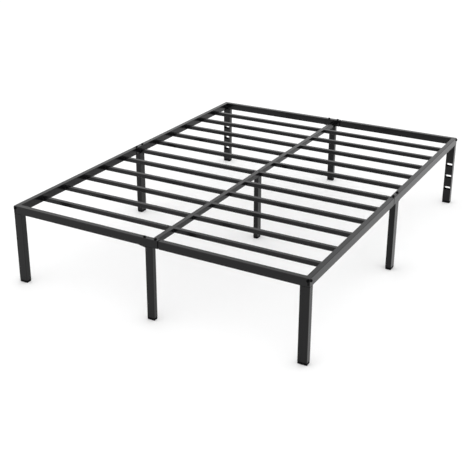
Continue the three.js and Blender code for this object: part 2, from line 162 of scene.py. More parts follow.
class Finishes(bpy.types.PropertyGroup):
    """Colours and gloss of the three finishes."""

    coat: FloatVectorProperty(name="Powder coat", description="Colour of the powder coat",
                              subtype="COLOR", size=3, min=0, max=1, default=(0.0032, 0.0032, 0.0036))
    # Painted highlight on outside edges: a lighter colour for light caught there, standing also for the
    # thinner coat on an edge
    coat_edge_highlight: FloatVectorProperty(name="Edge highlight", description="Painted highlight colour where the coat thins on an edge",
                                   subtype="COLOR", size=3, min=0, max=1, default=(0.012, 0.012, 0.013))
    coat_rough: FloatProperty(name="Coat roughness", description="Roughness of the powder coat",
                              default=0.18, min=0, max=1)
    plastic: FloatVectorProperty(name="Foot plastic", description="Colour of the moulded feet",
                                 subtype="COLOR", size=3, min=0, max=1, default=(0.004, 0.004, 0.0045))
    plastic_rough: FloatProperty(name="Plastic roughness", description="Roughness of the feet",
                                 default=0.60, min=0, max=1)
    bolt: FloatVectorProperty(name="Bolt black", description="Colour of the black-oxide bolts",
                              subtype="COLOR", size=3, min=0, max=1, default=(0.003, 0.003, 0.0032))
    bolt_rough: FloatProperty(name="Bolt roughness", description="Roughness of the bolts",
                              default=0.50, min=0, max=1)
    floor: FloatVectorProperty(name="Floor", description="Colour of the studio floor",
                               subtype="COLOR", size=3, min=0, max=1, default=(0.95, 0.95, 0.95))


class Studio(bpy.types.PropertyGroup):
    """Camera and light."""

    azimuth: FloatProperty(name="Azimuth", description="Camera turned to the left of +Y",
                           default=math.radians(29.6), subtype="ANGLE")
    elevation: FloatProperty(name="Elevation", description="Camera above the horizon",
                             default=math.radians(21.28), subtype="ANGLE")
    camera_place: FloatVectorProperty(name="Camera", description="Where the camera stands",
                                      default=(2.0087, -3.9063, 2.0067), subtype="TRANSLATION")
    lens: FloatProperty(name="Lens", description="Focal length in millimetres", default=69.44)
    shift_x: FloatProperty(name="Shift X", description="Sideways shift of the lens", default=0.0214)
    shift_y: FloatProperty(name="Shift Y", description="Upward shift of the lens", default=-0.1001)
    sky: FloatProperty(name="Sky", description="Brightness of the white surroundings", default=1.12)
    lamp_power: FloatProperty(name="Lamp", description="Power of the overhead softbox in watts",
                              default=22.0)
    lamp_size: FloatProperty(name="Softbox", description="Width of the softbox", default=4.0,
                             unit="LENGTH")
    lamp_place: FloatVectorProperty(name="Lamp place", description="Where the softbox hangs",
                                    default=(0.6, -0.8, 3.6), subtype="TRANSLATION")


GROUPS = {"tube": TubeSizes, "detail": DetailSizes, "finish": Finishes, "studio": Studio}


def settings(name):
    """One of the property groups, as stored on the scene."""
    return getattr(bpy.context.scene, f"bed_{name}")


# ------------------------------------------------------------------ mesh helpers
def placed(axis, along, across, up):
    """A point given along a tube, across it and up (or the second way across, for an upright)."""
    if axis == "X":
        return Vector((along, across, up))
    if axis == "Y":
        return Vector((across, along, up))
    return Vector((across, up, along))


def new_object(name, vertices, faces, edges=()):
    """An object at the origin with that mesh, linked to the scene."""
    mesh = bpy.data.meshes.new(name)
    mesh.from_pydata([tuple(v) for v in vertices], edges, faces)
    mesh.update()
    piece = bpy.data.objects.new(name, mesh)
    bpy.context.scene.collection.objects.link(piece)
    return piece


def section(wide, high, radius, steps):
    """A rounded rectangle, anticlockwise, with a support point beside each end of each corner."""
    points = []
    lead = min(0.3 * MM, 0.4 * (min(wide, high) / 2 - radius))
    for quarter, (sx, sy) in enumerate(((1, 1), (-1, 1), (-1, -1), (1, -1))):
        centre = Vector((sx * (wide / 2 - radius), sy * (high / 2 - radius)))
        turn = quarter * math.pi / 2
        tangent = Vector((-math.sin(turn), math.cos(turn)))
        arc = []
        for step in range(steps + 1):
            angle = turn + math.pi / 2 * step / steps
            arc.append(centre + radius * Vector((math.cos(angle), math.sin(angle))))
        leaving = Vector((-tangent.y, tangent.x))
        points += [arc[0] - lead * tangent, *arc, arc[-1] + lead * leaving]
    return points


def loft(rings, closed):
    """Faces that join rings of equal length; a closed loft joins the last ring to the first."""
    count = len(rings[0])
    vertices = [point for ring in rings for point in ring]
    faces = []
    for r in range(len(rings) if closed else len(rings) - 1):
        a, b = r * count, (r + 1) % len(rings) * count
        faces += [(a + i, a + (i + 1) % count, b + (i + 1) % count, b + i) for i in range(count)]
    if not closed:
        faces.append(tuple(reversed(range(count))))
        faces.append(tuple(range((len(rings) - 1) * count, len(rings) * count)))
    return vertices, faces


def tube(name, axis, start, end, centre, size, mitre=(0, 0), outer=1):
    """A hollow tube. A mitred end is cut back by its distance from the outer face across the tube."""
    sizes = settings("tube")
    wide, high = size
    inner_radius = max(sizes.corner - sizes.wall, 0.4 * MM)
    outside = section(wide, high, sizes.corner, sizes.corner_steps)
    inside = section(wide - 2 * sizes.wall, high - 2 * sizes.wall, inner_radius, sizes.corner_steps)

    def ring(points, at_end, inset=0.0):
        cut = mitre[1] if at_end else mitre[0]
        made = []
        for p in points:
            back = cut * (wide / 2 - outer * p.x) + inset
            along = end - back if at_end else start + back
            made.append(placed(axis, along, centre[0] + p.x, centre[1] + p.y))
        return made

    hold = sizes.support
    rings = [ring(outside, False), ring(outside, False, hold), ring(outside, True, hold),
             ring(outside, True), ring(inside, True), ring(inside, True, hold),
             ring(inside, False, hold), ring(inside, False)]
    vertices, faces = loft(rings, closed=True)
    return new_object(name, vertices, faces)


def bar(name, axis, start, end, centre, size, radius=0.5 * MM):
    """A solid bar or plate with rounded long edges."""
    points = section(size[0], size[1], radius, 3)
    rings = [[placed(axis, along, centre[0] + p.x, centre[1] + p.y) for p in points]
             for along in (start, end)]
    vertices, faces = loft(rings, closed=False)
    return new_object(name, vertices, faces)


def prism(name, axis, outline, start, end):
    """An outline in (across, up) drawn out along an axis. Its faces may still point inwards."""
    rings = [[placed(axis, along, u, v) for u, v in outline] for along in (start, end)]
    vertices, faces = loft(rings, closed=False)
    return new_object(name, vertices, faces)


def slot_cutter(at, size, radius, steps, reach):
    """A rounded prism along Y, to cut a slot centred on a point."""
    outline = [(at.x + p.x, at.z + p.y) for p in section(*size, radius, steps)]
    return prism("slot cutter", "Y", outline, at.y - reach, at.y + reach)


def turn_outwards(piece):
    """Turns every face of a closed mesh outwards."""
    work = bmesh.new()
    work.from_mesh(piece.data)
    bmesh.ops.recalc_face_normals(work, faces=work.faces)
    work.to_mesh(piece.data)
    work.free()


def join(pieces, name):
    """One object from several; each keeps its own closed shell."""
    work = bmesh.new()
    for piece in pieces:
        turn_outwards(piece)
        work.from_mesh(piece.data)
        bpy.data.objects.remove(piece)
    mesh = bpy.data.meshes.new(name)
    work.to_mesh(mesh)
    work.free()
    joined = bpy.data.objects.new(name, mesh)
    bpy.context.scene.collection.objects.link(joined)
    return joined


def applied(piece):
    """The piece with its modifiers made part of its mesh."""
    graph = bpy.context.evaluated_depsgraph_get()
    mesh = bpy.data.meshes.new_from_object(piece.evaluated_get(graph))
    mesh.name = piece.name
    piece.modifiers.clear()
    piece.data = mesh
    return piece


def cut(piece, cutters):
    """Cuts each cutter out of the piece and removes the cutters."""
    turn_outwards(piece)
    for cutter in cutters:
        turn_outwards(cutter)
        modifier = piece.modifiers.new("cut", "BOOLEAN")
        modifier.operation = "DIFFERENCE"
        modifier.solver = "EXACT"
        modifier.object = cutter
    bpy.context.view_layer.update()
    applied(piece)
    for cutter in cutters:
        bpy.data.objects.remove(cutter)
    return piece


def break_edges(piece):
    """Rounds the sharp edges of a piece by a hair, so that they catch the light."""
    modifier = piece.modifiers.new("edge break", "BEVEL")
    modifier.width = settings("tube").edge_break
    modifier.segments = 2
    modifier.limit_method = "ANGLE"
    modifier.angle_limit = math.radians(50)
    modifier.harden_normals = False
    bpy.context.view_layer.update()
    return applied(piece)


def finish(piece, slot, *nodes):
    """Shades a finished piece, gives it its material and ties it to the frame."""
    for polygon in piece.data.polygons:
        polygon.use_smooth = True
    piece.data.set_sharp_from_angle(angle=math.radians(32))
    weighted = piece.modifiers.new("weighted normals", "WEIGHTED_NORMAL")
    weighted.mode = "FACE_AREA"
    weighted.keep_sharp = True
    bpy.context.view_layer.update()
    applied(piece)
    piece.data.materials.clear()
    piece.data.materials.append(MATERIALS[slot]())
    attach(piece, BODY)
    if nodes:
        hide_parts(*nodes)
    return piece


def middle(node):
    """Centre and size of a node's box."""
    low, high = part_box(node)
    return (low + high) / 2, high - low


# ------------------------------------------------------------------ geometry node helpers
class Tree:
    """Builds one geometry node tree with named inputs."""

    def __init__(self, name, inputs):
        self.group = bpy.data.node_groups.new(name, "GeometryNodeTree")
        interface = self.group.interface
        interface.new_socket("Geometry", in_out="INPUT", socket_type="NodeSocketGeometry")
        for label, kind in inputs:
            interface.new_socket(label, in_out="INPUT", socket_type=kind)
        interface.new_socket("Geometry", in_out="OUTPUT", socket_type="NodeSocketGeometry")
        self.input = self.group.nodes.new("NodeGroupInput")
        self.output = self.group.nodes.new("NodeGroupOutput")

    def node(self, kind, values=(), **properties):
        """A node with its properties set and its named input values given."""
        made = self.group.nodes.new(kind)
        for key, value in properties.items():
            setattr(made, key, value)
        for key, value in dict(values).items():
            made.inputs[key].default_value = value
        return made

    def link(self, source, target):
        self.group.links.new(source, target)

    def close(self, instances):
        """Ends the tree: realize the instances and set their material."""
        realize = self.node("GeometryNodeRealizeInstances")
        material = self.node("GeometryNodeSetMaterial")
        self.link(instances, realize.inputs["Geometry"])
        self.link(realize.outputs["Geometry"], material.inputs["Geometry"])
        self.link(self.input.outputs["Material"], material.inputs["Material"])
        self.link(material.outputs["Geometry"], self.output.inputs["Geometry"])
        return self.group


def copies_tree():
    """Copies of one piece on points, each turned so that its +Z looks along "facing"."""
    name = "copies on points"
    if name in bpy.data.node_groups:
        return bpy.data.node_groups[name]
    tree = Tree(name, (("Piece", "NodeSocketObject"), ("Scale", "NodeSocketFloat"),
                       ("Material", "NodeSocketMaterial")))
    shape = tree.node("GeometryNodeObjectInfo")
    facing = tree.node("GeometryNodeInputNamedAttribute", {"Name": "facing"}, data_type="FLOAT_VECTOR")
    turn = tree.node("FunctionNodeAlignRotationToVector", axis="Z")
    copies = tree.node("GeometryNodeInstanceOnPoints")
    tree.link(tree.input.outputs["Piece"], shape.inputs["Object"])
    tree.link(facing.outputs["Attribute"], turn.inputs["Vector"])
    tree.link(tree.input.outputs["Geometry"], copies.inputs["Points"])
    tree.link(shape.outputs["Geometry"], copies.inputs["Instance"])
    tree.link(turn.outputs["Rotation"], copies.inputs["Rotation"])
    tree.link(tree.input.outputs["Scale"], copies.inputs["Scale"])
    return tree.close(copies.outputs["Instances"])


def bead_tree():
    """Overlapping weld ripples of uneven size along every edge."""
    name = "weld ripples"
    if name in bpy.data.node_groups:
        return bpy.data.node_groups[name]
    tree = Tree(name, (("Radius", "NodeSocketFloat"), ("Pitch", "NodeSocketFloat"),
                       ("Seed", "NodeSocketInt"), ("Material", "NodeSocketMaterial")))
    curve = tree.node("GeometryNodeMeshToCurve")
    spaced = tree.node("GeometryNodeResampleCurve", mode="LENGTH")
    ripple = tree.node("GeometryNodeMeshUVSphere", {"Segments": 8, "Rings": 5})
    uneven = tree.node("FunctionNodeRandomValue", {"Min": (0.85,) * 3, "Max": (1.2,) * 3},
                       data_type="FLOAT_VECTOR")
    copies = tree.node("GeometryNodeInstanceOnPoints")
    tree.link(tree.input.outputs["Geometry"], curve.inputs["Mesh"])
    tree.link(curve.outputs["Curve"], spaced.inputs["Curve"])
    tree.link(tree.input.outputs["Pitch"], spaced.inputs["Length"])
    tree.link(tree.input.outputs["Radius"], ripple.inputs["Radius"])
    tree.link(tree.input.outputs["Seed"], uneven.inputs["Seed"])
    tree.link(spaced.outputs["Curve"], copies.inputs["Points"])
    tree.link(ripple.outputs["Mesh"], copies.inputs["Instance"])
    tree.link(uneven.outputs["Value"], copies.inputs["Scale"])
    return tree.close(copies.outputs["Instances"])


def grown(carrier, group, values):
    """Runs a node tree on a carrier object and makes the result its plain mesh."""
    identifiers = {item.name: item.identifier for item in group.interface.items_tree
                   if item.in_out == "INPUT"}
    modifier = carrier.modifiers.new("nodes", "NODES")
    modifier.node_group = group
    for label, value in values.items():
        modifier[identifiers[label]] = value
    bpy.context.view_layer.update()
    return applied(carrier)


def copies_at(name, places, shape, slot, scale=1.0):
    """Copies of a shape on (point, facing) places, as one object. The shape is removed."""
    carrier = new_object(name, [point for point, _ in places], [])
    facing = carrier.data.attributes.new("facing", "FLOAT_VECTOR", "POINT")
    for item, (_, way) in zip(facing.data, places):
        item.vector = way
    turn_outwards(shape)
    values = {"Piece": shape, "Scale": scale, "Material": MATERIALS[slot]()}
    made = grown(carrier, copies_tree(), values)
    bpy.data.objects.remove(shape)
    return made


# ------------------------------------------------------------------ materials
def shader_group(name, inputs, outputs):
    """An empty shader node group with named sockets, and its input and output nodes."""
    group = bpy.data.node_groups.new(name, "ShaderNodeTree")
    for label, kind, default in inputs:
        socket = group.interface.new_socket(label, in_out="INPUT", socket_type=kind)
        if default is not None:
            socket.default_value = default
    for label, kind in outputs:
        group.interface.new_socket(label, in_out="OUTPUT", socket_type=kind)
    return group, group.nodes.new("NodeGroupInput"), group.nodes.new("NodeGroupOutput")


def noise(group, scale, detail=2.0):
    """A noise texture read in the group's own coordinates."""
    made = group.nodes.new("ShaderNodeTexNoise")
    made.inputs["Scale"].default_value = scale
    made.inputs["Detail"].default_value = detail
    coordinates = group.nodes.new("ShaderNodeTexCoord")
    group.links.new(coordinates.outputs["Object"], made.inputs["Vector"])
    return made


def maths(group, operation, first, second, clamp=False):
    """A math node fed by a socket or a number on either side."""
    made = group.nodes.new("ShaderNodeMath")
    made.operation = operation
    made.use_clamp = clamp
    for socket, value in zip(made.inputs, (first, second)):
        if isinstance(value, (int, float)):
            socket.default_value = value
        else:
            group.links.new(value, socket)
    return made.outputs["Value"]


def mix_colour(tree, factor, first, second):
    """Mixes two colours, each a socket or three numbers."""
    made = tree.nodes.new("ShaderNodeMix")
    made.data_type = "RGBA"
    tree.links.new(factor, made.inputs["Factor"])
    for socket, value in ((made.inputs[6], first), (made.inputs[7], second)):
        if isinstance(value, bpy.types.NodeSocket):
            tree.links.new(value, socket)
        else:
            socket.default_value = (*value, 1)
    return made.outputs[2]


def surface_group():
    """Orange peel, slow mottling and fine specks of dust, as one group for every finish."""
    name = "fine surface"
    if name in bpy.data.node_groups:
        return bpy.data.node_groups[name]
    inputs = (("Peel size", "NodeSocketFloat", PEEL_WAVES), ("Roughness", "NodeSocketFloat", 0.3),
              ("Roughness spread", "NodeSocketFloat", 0.1))
    outputs = (("Roughness", "NodeSocketFloat"), ("Mottle", "NodeSocketFloat"),
               ("Height", "NodeSocketFloat"))
    group, given, result = shader_group(name, inputs, outputs)
    peel = noise(group, PEEL_WAVES, 3.0)
    group.links.new(given.outputs["Peel size"], peel.inputs["Scale"])
    mottle = noise(group, MOTTLE_WAVES, 5.0)
    specks = noise(group, SPECK_WAVES, 0.0)
    swing = maths(group, "SUBTRACT", mottle.outputs["Fac"], 0.5)
    swing = maths(group, "MULTIPLY", swing, given.outputs["Roughness spread"])
    speck = maths(group, "GREATER_THAN", specks.outputs["Fac"], SPECK_LEVEL)
    speck = maths(group, "MULTIPLY", speck, SPECK_ROUGHNESS)
    rough = maths(group, "ADD", given.outputs["Roughness"], swing)
    rough = maths(group, "ADD", rough, speck, clamp=True)
    group.links.new(rough, result.inputs["Roughness"])
    group.links.new(mottle.outputs["Fac"], result.inputs["Mottle"])
    group.links.new(peel.outputs["Fac"], result.inputs["Height"])
    return group


def edge_highlight_group():
    """How much painted highlight an outside edge gets, broken up by noise; it also stands for the coat
    being thinner there.
    """
    name = "thin coat on edges"
    if name in bpy.data.node_groups:
        return bpy.data.node_groups[name]
    group, given, result = shader_group(name, (("Amount", "NodeSocketFloat", 1.0),),
                                        (("Mask", "NodeSocketFloat"),))
    geometry = group.nodes.new("ShaderNodeNewGeometry")
    sharp = maths(group, "SUBTRACT", geometry.outputs["Pointiness"], EDGE_START)
    sharp = maths(group, "MULTIPLY", sharp, EDGE_GAIN, clamp=True)
    grain = noise(group, EDGE_WAVES, 4.0)
    broken = maths(group, "MULTIPLY", grain.outputs["Fac"], EDGE_BREAKUP, clamp=True)
    mask = maths(group, "MULTIPLY", sharp, broken)
    mask = maths(group, "MULTIPLY", mask, given.outputs["Amount"])
    group.links.new(mask, result.inputs["Mask"])
    return group


def finish_material(name, colour, highlight_colour, rough, spread, peel, bump, specular, ior, edge):
    """A black finish: mottled colour, a painted highlight on the edges that also stands for the thinner
    coat there, orange peel in the bump.
    """
    if name in bpy.data.materials:
        return bpy.data.materials[name]
    material = bpy.data.materials.new(name)
    material.use_nodes = True
    material.diffuse_color = (*colour, 1)
    tree = material.node_tree
    shader = tree.nodes["Principled BSDF"]
    shader.inputs["IOR"].default_value = ior
    shader.inputs["Specular IOR Level"].default_value = specular
    surface = tree.nodes.new("ShaderNodeGroup")
    surface.node_tree = surface_group()
    surface.inputs["Peel size"].default_value = peel
    surface.inputs["Roughness"].default_value = rough
    surface.inputs["Roughness spread"].default_value = spread
    edges = tree.nodes.new("ShaderNodeGroup")
    edges.node_tree = edge_highlight_group()
    edges.inputs["Amount"].default_value = edge
    dark, light = ([c * factor for c in colour] for factor in MOTTLE_SHADE)
    shade = mix_colour(tree, surface.outputs["Mottle"], dark, light)
    # Painted highlight: a lighter colour on outside edges, standing also for the thinner coat there
    shade = mix_colour(tree, edges.outputs["Mask"], shade, highlight_colour)
    bump_node = tree.nodes.new("ShaderNodeBump")
    bump_node.inputs["Strength"].default_value = bump
    bump_node.inputs["Distance"].default_value = PEEL_DEPTH
    tree.links.new(surface.outputs["Height"], bump_node.inputs["Height"])
    tree.links.new(bump_node.outputs["Normal"], shader.inputs["Normal"])
    tree.links.new(surface.outputs["Roughness"], shader.inputs["Roughness"])
    tree.links.new(shade, shader.inputs["Base Color"])
    return material


def powder_coat():
    """Smooth black powder coat with a soft gloss."""
    chosen = settings("finish")
    return finish_material("black powder coat", chosen.coat, chosen.coat_edge_highlight, chosen.coat_rough,
                           spread=0.06, peel=700.0, bump=0.05, specular=0.27, ior=1.45, edge=0.6)


def foot_plastic():
    """Black moulded plastic with a fine spark-eroded grain."""
    chosen = settings("finish")
    return finish_material("moulded foot plastic", chosen.plastic, chosen.coat_edge_highlight,
                           chosen.plastic_rough, spread=0.12, peel=1500.0, bump=0.35, specular=0.05,
                           ior=1.45, edge=0.1)


def bolt_black():
    """Black-oxide steel, darker and duller than the coat."""
    chosen = settings("finish")
    return finish_material("black oxide", chosen.bolt, chosen.coat_edge_highlight, chosen.bolt_rough,
                           spread=0.16, peel=1100.0, bump=0.12, specular=0.02, ior=1.45, edge=0.2)


MATERIALS = {"black_enamel": powder_coat, "foot_plastic": foot_plastic, "black_bolt": bolt_black}


# ------------------------------------------------------------------ outer rails
def insert_tube(axis, tip, seam, centre, size):
    """The smaller tube that reaches from its tip to just past a seam, inside the rail there."""
    sizes = settings("tube")
    shrink = 2 * (sizes.wall + sizes.insert_clearance)
    ends = sorted((tip, seam + math.copysign(INSERT_ROOT, seam - tip)))
    return tube("insert", axis, *ends, centre, (size[0] - shrink, size[1] - shrink))


def rail_half(node, axis, outer, corner_low, reach):
    """One half rail, mitred at its corner, and an insert that stands out of it if it has a reach."""
    low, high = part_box(node)
    centre, size = middle(node)
    index = "XY".index(axis)
    across = 1 - index
    start, end = low[index], high[index]
    if corner_low:
        tip, end = end, end - reach
    else:
        tip, start = start, start + reach
    seam = end if corner_low else start
    at = (centre[across], centre.z)
    wide_high = (size[across], size.z)
    mitre = (1, 0) if corner_low else (0, 1)
    pieces = [tube(node, axis, start, end, at, wide_high, mitre=mitre, outer=outer)]
    if reach:
        pieces.append(insert_tube(axis, tip, seam, at, wide_high))
    return pieces


def corner_slot(sx, sy):
    """Cutter for the short upright slot beside a corner, in an end rail's outer face."""
    at = Vector((sx * (OUTLINE_X - CORNER_SLOT_INSET), sy * OUTLINE_Y, RAIL_TOP - CORNER_SLOT_DROP))
    return slot_cutter(at, CORNER_SLOT, CORNER_SLOT_RADIUS, 4, CORNER_SLOT_DEPTH)


def finish_rail(pieces, name, node):
    """Finishes a rail, and its bare insert where it has one."""
    rail, *inserts = pieces
    finish(break_edges(join([rail], name)), "black_enamel", node)
    for insert in inserts:
        finish(break_edges(join([insert], name + "_insert")), "black_bolt")


def make_outer_rails():
    """The eight half rails of the outer frame."""
    for end, sy in ENDS:
        for side, sx in SIDES:
            node = f"{end}_rail_{side}_half"
            pieces = rail_half(node, "X", sy, sx < 0, INSERT_REACH if side == "right" else 0)
            cut(pieces[0], [corner_slot(sx, sy)])
            finish_rail(pieces, f"{end}_rail_{side}", node)
    for side, sx in SIDES:
        for end, sy in ENDS:
            node = f"{side}_side_rail_{end}_half"
            pieces = rail_half(node, "Y", sx, sy < 0, INSERT_REACH if end == "foot" else 0)
            finish_rail(pieces, f"{side}_rail_{end}", node)


# ------------------------------------------------------------------ centre rail and its brackets
def make_centre_rail():
    """Both halves of the centre rail, the head half with its insert."""
    for end, _ in ENDS:
        node = f"centre_rail_{end}_half"
        low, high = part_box(node)
        centre, size = middle(node)
        start = low.y + (INSERT_REACH if end == "head" else 0)
        at = (centre.x, centre.z)
        pieces = [tube(node, "Y", start, high.y, at, (size.x, size.z))]
        if end == "head":
            pieces.append(insert_tube("Y", low.y, start, at, (size.x, size.z)))
        finish_rail(pieces, f"centre_rail_{end}", node)


def make_brackets():
    """The folded angle under each end of the centre rail, with a round inside bend."""
    for end, sy in ENDS:
        node = f"{end}_centre_rail_bracket"
        low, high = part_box(node)
        wall, tip = (high.y, low.y) if sy > 0 else (low.y, high.y)
        arc = []
        for step in range(BEND_STEPS + 1):
            angle = math.pi / 2 * step / BEND_STEPS
            arc.append((wall - sy * (BRACKET_THICK + BRACKET_BEND * (1 - math.sin(angle))),
                        low.z + BRACKET_THICK + BRACKET_BEND * (1 - math.cos(angle))))
        outline = [(wall, low.z), (wall, high.z), (wall - sy * BRACKET_THICK, high.z),
                   *reversed(arc), (tip, low.z + BRACKET_THICK), (tip, low.z)]
        bracket = prism(f"{end}_bracket", "X", outline, low.x, high.x)
        turn_outwards(bracket)
        finish(break_edges(bracket), "black_enamel", node)


# ------------------------------------------------------------------ slats
def make_slats():
    """Two rows of slats: one tube for each row, copied to the row's places."""
    for side, _ in SIDES:
        nodes = [f"slat_{side}_{row:02d}" for row in range(1, SLAT_ROWS + 1)]
        centre, size = middle(nodes[0])
        shape = tube("slat", "X", -size.x / 2, size.x / 2, (0, 0), (size.y, size.z))
        places = [(middle(node)[0], (0, 0, 1)) for node in nodes]
        finish(copies_at(f"slats_{side}", places, shape, "black_enamel"), "black_enamel", *nodes)


# ------------------------------------------------------------------ legs and feet
LEG_NODES = ("foot_left_leg", "foot_right_leg", "head_left_leg", "head_right_leg",
             "foot_middle_leg", "head_middle_leg", "left_middle_leg", "right_middle_leg",
             "centre_leg")


def leg_section(node):
    """Centre and size across a leg, read from its foot."""
    return middle(node.replace("_leg", "_foot_cap"))


def gusset(node, centre, size):
    """The wedge between a middle leg and the underside of its rail, on the leg's open side."""
    low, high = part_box(node)
    top = high.z
    end_rail = node.startswith(("foot", "head"))
    index = 0 if end_rail else 1
    sides = ((low[index], centre[index] - size[index] / 2),
             (high[index], centre[index] + size[index] / 2))
    tip, root = max(sides, key=lambda side: abs(side[0] - side[1]))
    inside = root + math.copysign(GUSSET_TIP, root - tip)
    outline = [(inside, top), (tip, top), (tip, top - GUSSET_TIP), (root, top - GUSSET_DROP),
               (inside, top - GUSSET_DROP)]
    if end_rail:
        axis, across = "Y", centre.y
    else:
        axis, across = "X", math.copysign(OUTLINE_X - RAIL_WIDE / 2, centre.x)
    return prism(node + " gusset", axis, outline, across - GUSSET_HALF, across + GUSSET_HALF)


def headboard_cutters(centre):
    """Cutters for the three headboard slots of a head-end leg."""
    return [slot_cutter(Vector((centre.x, centre.y, z)), HEADBOARD_SLOT, HEADBOARD_SLOT_RADIUS, 6,
                        HEADBOARD_CUT) for z in HEADBOARD_SLOT_HEIGHTS]


def make_legs():
    """All nine legs, with gussets on the middle ones and headboard slots at the head corners."""
    for node in LEG_NODES:
        centre, size = leg_section(node)
        low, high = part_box(node)
        upright = tube(node, "Z", low.z, high.z, (centre.x, centre.y), (size.x, size.y))
        if node in ("head_left_leg", "head_right_leg"):
            upright = cut(upright, headboard_cutters(centre))
        pieces = [upright]
        if "middle" in node:
            pieces.append(gusset(node, centre, size))
        if node == "centre_leg":
            pieces.append(bar("plate", "Y", low.y, high.y, (centre.x, high.z - PLATE[1] / 2), PLATE))
        finish(break_edges(join(pieces, node + "_tube")), "black_enamel", node)


def foot_cap(node):
    """A moulded foot: a pad with a rounded sole, a shallow parting groove and a ribbed plug."""
    centre, size = middle(node)
    rings = []
    for height, inset in FOOT_PROFILE:
        corner = max(FOOT_CORNER - inset, FOOT_CORNER_LEAST) * MM
        points = section(size.x - 2 * inset * MM, size.y - 2 * inset * MM, corner, 5)
        rings.append([Vector((centre.x + p.x, centre.y + p.y, height * MM)) for p in points])
    vertices, faces = loft(rings, closed=False)
    piece = new_object(node + "_moulding", vertices, faces)
    turn_outwards(piece)
    finish(piece, "foot_plastic", node)


def make_foot_caps():
    """The nine plastic feet."""
    for node in LEG_NODES:
        foot_cap(node.replace("_leg", "_foot_cap"))


# ------------------------------------------------------------------ bolts and screws
def button_head():
    """A button head with a hexagon socket, standing on the origin and looking along +Z."""
    sizes = settings("detail")
    angles = [2 * math.pi * i / HEAD_SIDES for i in range(HEAD_SIDES)]

    def circle(radius, height):
        return [Vector((radius * math.cos(a), radius * math.sin(a), height)) for a in angles]

    def hexagon(radius, height):
        made = []
        for a in angles:
            reach = radius * math.cos(math.pi / 6) / math.cos(a % (math.pi / 3) - math.pi / 6)
            made.append(Vector((reach * math.cos(a), reach * math.sin(a), height)))
        return made

    radius, tall, socket = sizes.head_radius, sizes.head_height, sizes.head_socket
    rings = [circle(radius * 0.96, 0), circle(radius, 0.15 * tall), circle(radius, HEAD_SKIRT * tall)]
    for step in range(1, DOME_STEPS + 1):
        angle = math.pi / 2 * step / DOME_STEPS
        rings.append(circle(radius * (HEAD_FLAT + (1 - HEAD_FLAT) * math.cos(angle)),
                            tall * (HEAD_SKIRT + (1 - HEAD_SKIRT) * math.sin(angle))))
    rings += [hexagon(socket * 1.08, tall), hexagon(socket, tall * 0.94), hexagon(socket, tall * 0.4)]
    rings.append(circle(socket * 0.3, tall * 0.34))
    vertices, faces = loft(rings, closed=False)
    return new_object("button head", vertices, faces)


def joint_bolt_places(node):
    """The two head places of a rail joint, on the rail's top face."""
    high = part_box(node)[1]
    centre, size = middle(node)
    along = 0 if size.x > size.y else 1
    places = []
    for way in (-1, 1):
        point = centre.copy()
        point[along] += way * (size[along] / 2 - JOINT_BOLT_INSET)
        point.z = high.z - settings("detail").head_height
        places.append((point, (0, 0, 1)))
    return places


def corner_bolt_places(sx, sy):
    """The two head places of a corner, on the outer faces."""
    z = RAIL_TOP - CORNER_BOLT_DROP
    return [(Vector((sx * (OUTLINE_X + CORNER_BOLT_LIFT), sy * (OUTLINE_Y - CORNER_BOLT_INSET), z)),
             (sx, 0, 0)),
            (Vector((sx * (OUTLINE_X - CORNER_BOLT_INSET), sy * (OUTLINE_Y + CORNER_BOLT_LIFT), z)),
             (0, sy, 0))]


def make_bolts():
    """The visible heads of every rail bolt."""
    for name in ("foot", "head", "left", "right"):
        node = f"{name}_joint_bolts"
        piece = copies_at(f"{name}_bolt_heads", joint_bolt_places(node), button_head(), "black_bolt")
        finish(piece, "black_bolt", node)
    for end, sy in ENDS:
        for side, sx in SIDES:
            piece = copies_at(f"{end}_{side}_bolt_heads", corner_bolt_places(sx, sy), button_head(),
                              "black_bolt")
            finish(piece, "black_bolt", f"{end}_{side}_corner_bolts")


def make_screws():
    """Small screws through the first and the middle left slat, next to the centre rail."""
    inset = settings("detail").screw_inset
    places = []
    for row in SCREWED_ROWS:
        low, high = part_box(f"slat_left_{row:02d}")
        places.append((Vector((high.x - inset, (low.y + high.y) / 2, high.z)), (0, 0, 1)))
    piece = copies_at("slat_screws", places, button_head(), "black_bolt",
                      settings("detail").screw_scale)
    finish(piece, "black_bolt")


# ------------------------------------------------------------------ welds
def slat_weld_lines():
    """Upright lines on both sides of each slat end, where it meets a rail."""
    lines = []
    for side, _ in SIDES:
        for row in range(1, SLAT_ROWS + 1):
            low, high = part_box(f"slat_{side}_{row:02d}")
            for x in (low.x, high.x):
                for y in (low.y, high.y):
                    lines.append((Vector((x, y, low.z + WELD_STOP_LOW)),
                                  Vector((x, y, high.z - WELD_STOP))))
    return lines


def leg_weld_lines():
    """A line along the inner side of each leg, where it meets the underside of a rail."""
    lines = []
    for node in LEG_NODES:
        centre, size = leg_section(node)
        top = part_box(node)[1].z
        half_x, half_y = size.x / 2, size.y / 2
        if node.startswith(("foot", "head")):
            x = centre.x + (-half_x if centre.x > 0.1 else half_x)
            lines.append((Vector((x, centre.y - half_y + WELD_STOP, top)),
                          Vector((x, centre.y + half_y - WELD_STOP_HEADWARD, top))))
        else:
            y = centre.y - half_y
            lines.append((Vector((centre.x - half_x + WELD_STOP, y, top)),
                          Vector((centre.x + half_x - WELD_STOP, y, top))))
    return lines


def make_welds():
    """Rippled weld beads along every weld line."""
    sizes = settings("detail")
    for name, lines in (("slat_welds", slat_weld_lines()), ("leg_welds", leg_weld_lines())):
        points = [point for line in lines for point in line]
        edges = [(2 * i, 2 * i + 1) for i in range(len(lines))]
        carrier = new_object(name, points, [], edges)
        values = {"Radius": sizes.bead_radius, "Pitch": sizes.bead_pitch, "Seed": sizes.bead_seed,
                  "Material": powder_coat()}
        finish(grown(carrier, bead_tree(), values), "black_enamel")


